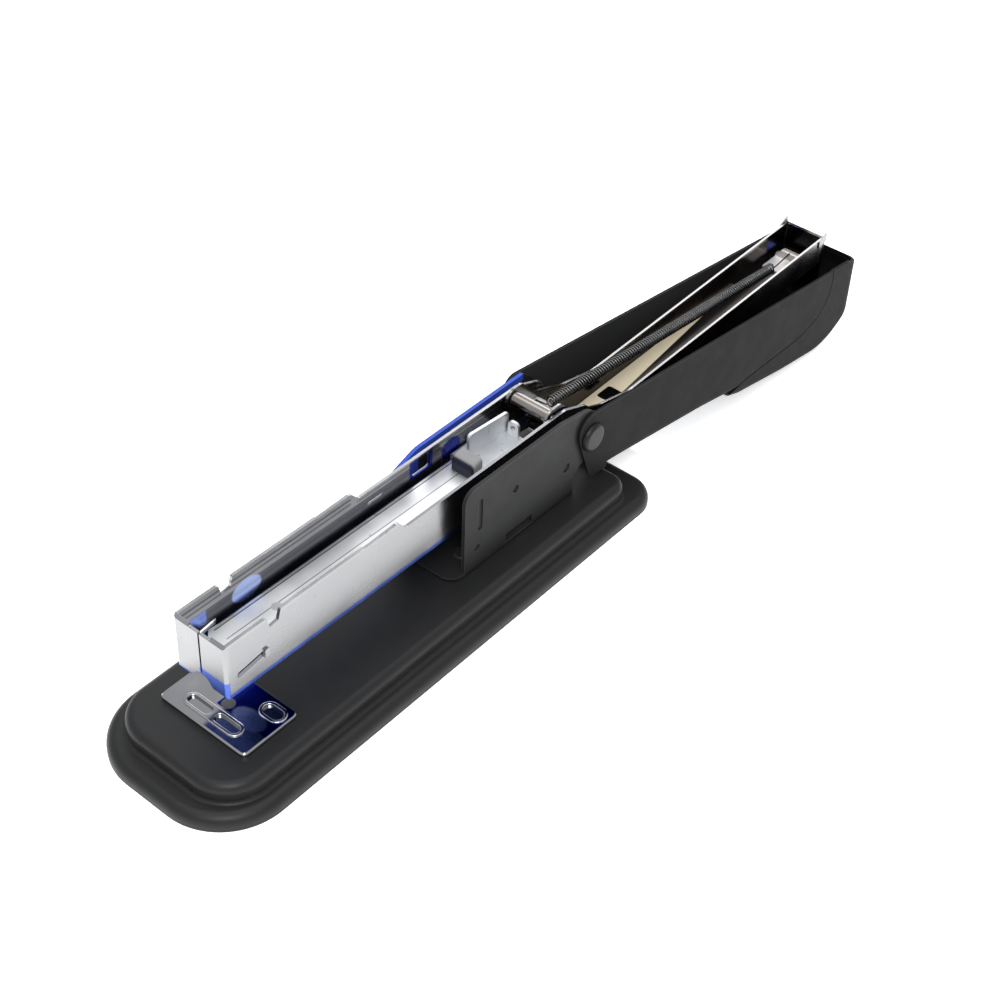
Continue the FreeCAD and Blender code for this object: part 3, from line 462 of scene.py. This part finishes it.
def push_spring():
    """The long coil in its CAD space: one end wraps the roller, the other hooks the anchor."""
    low, high = box_mm("pusher_spring")
    space = (high[1] - low[1]) / 2
    start_gap, end_gap = 2.2, 2.0
    start = np.array((low[0] + start_gap, 0, high[2] - space))
    end = np.array((high[0] - end_gap, 0, low[2] + space))
    wire, turn_radius, turns = 0.23, 1.28, 108
    coil = helix(start, end, turn_radius, turns)
    roller_low, roller_high = box_mm("roller_pin")
    roller = (roller_low + roller_high) / 2
    wrap = (roller_high[2] - roller_low[2]) / 2 + wire
    first, last, step = 200, 420, 20  # degrees round the roller
    round_roller = [roller + wrap * np.array((math.cos(a), 0, math.sin(a)))
                    for a in np.radians(range(first, last + 1, step))]
    lead_in = start - (1.2, 0, 0)
    anchor_low, anchor_high = box_mm("spring_anchor")
    on_anchor = (anchor_low[0] + 7.0, 0, anchor_high[2] + 0.1)
    hook = [end + (1.5, 0, -0.6), end + (3.5, 0, -0.5), on_anchor]
    path = [*round_roller, lead_in, *coil, *hook]
    made = tube("pusher_coil", path, wire, FINISHES["pusher_spring"], sides=6)
    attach(made, "cover")
    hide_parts("pusher_spring")


def anvil_spring():
    """The short coil round the anvil's post, riding with the post."""
    low, high = box_mm("anvil_spring")
    wire, turns = 0.3, 4.5
    x, y, _ = (low + high) / 2
    radius = (high[0] - low[0]) / 2 - wire
    path = helix((x, y, low[2] + wire), (x, y, high[2] - wire), radius, turns, steps=24)
    made = tube("anvil_coil", path, wire, FINISHES["anvil_spring"])
    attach(made, "anvil_post")
    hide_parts("anvil_spring")
    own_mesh(made)


push_spring()
anvil_spring()


# ---------------------------------------------------------------- stage, light and camera


def stage_floor():
    """A pale table top that drops behind the base, so that the open handle hangs clear of it."""
    drop, edge, corner, steps = -12.0, 84.0, 5.0, 8
    front, rear, half_width = -1500, 2500, 2000
    quarter = [math.radians(90 * k / steps) for k in range(steps + 1)]
    over = [(edge + corner * math.sin(turn), corner * (math.cos(turn) - 1)) for turn in quarter]
    under = [(edge + 2 * corner - corner * math.cos(turn), drop + corner * (1 - math.sin(turn)))
             for turn in quarter]
    profile = [(front, 0.0), *over, *under, (rear, drop)]
    points = [(x * MM, y * MM, z * MM) for y in (-half_width, half_width) for x, z in profile]
    count = len(profile)
    faces = [(k, k + 1, k + 1 + count, k + count) for k in range(count - 1)]
    mesh = bpy.data.meshes.new("floor")
    mesh.from_pydata(points, [], faces)
    made = Finish("floor paper", Roughness=0.9, Specular_IOR_Level=0.1,
                  Emission_Color=(1, 1, 1, 1), Emission_Strength=0.55)
    made.colour(made.mixed(made.noise(40, 3), grey(0.90), grey(0.93)))
    mesh.materials.append(made.material)
    floor = bpy.data.objects.new("floor", mesh)
    bpy.context.scene.collection.objects.link(floor)


MIDDLE = (0.04, 0, 0.02)  # about the middle of the stapler, in metres


def soft_light(name, place, size, power):
    """A rectangular light turned to the middle of the stapler, in metres and watts."""
    lamp = bpy.data.lights.new(name, "AREA")
    lamp.shape = "RECTANGLE"
    lamp.size, lamp.size_y = size
    lamp.energy = power
    made = bpy.data.objects.new(name, lamp)
    made.location = place
    made.rotation_euler = (Vector(MIDDLE) - Vector(place)).to_track_quat("-Z", "Y").to_euler()
    bpy.context.scene.collection.objects.link(made)


CAMERA_PLACE = (-218.83, -207.03, 301.43)
CAMERA_TURN = (-51.315, 41.448, 2.218)  # azimuth, elevation and roll, in degrees
CAMERA_LENS = 64.9


def camera():
    """The camera that was fitted to corners of the photo, with places in millimetres."""
    azimuth, elevation, roll = (math.radians(angle) for angle in CAMERA_TURN)
    level = math.cos(elevation)
    forward = Vector((-math.sin(azimuth) * level, math.cos(azimuth) * level, -math.sin(elevation)))
    right = Vector((math.cos(azimuth), math.sin(azimuth), 0))
    up = right.cross(forward)
    turned_right = right * math.cos(roll) + up * math.sin(roll)
    turned_up = up * math.cos(roll) - right * math.sin(roll)
    lens = bpy.data.cameras.new("camera")
    lens.sensor_width = 36
    lens.lens = CAMERA_LENS
    lens.clip_start, lens.clip_end = 0.01, 20
    made = bpy.data.objects.new("camera", lens)
    turned = Matrix((turned_right, turned_up, -forward)).transposed().to_4x4()
    made.matrix_world = Matrix.Translation(Vector(CAMERA_PLACE) * MM) @ turned
    bpy.context.scene.collection.objects.link(made)
    bpy.context.scene.camera = made


def studio():
    """The pale room that lights the chrome from every side."""
    world = bpy.data.worlds.new("studio")
    world.use_nodes = True
    background = world.node_tree.nodes["Background"]
    background.inputs["Color"].default_value = (0.93, 0.95, 1.0, 1)
    background.inputs["Strength"].default_value = 0.7
    bpy.context.scene.world = world


stage_floor()
soft_light("key", (-0.5, -0.45, 0.9), (0.5, 0.5), 6.5)
soft_light("top", (0.1, 0.1, 1.1), (1.2, 0.9), 5.0)
soft_light("back", (0.7, 0.6, 0.5), (0.8, 0.4), 2.5)
studio()
bpy.context.scene.view_settings.view_transform = "Standard"
camera()
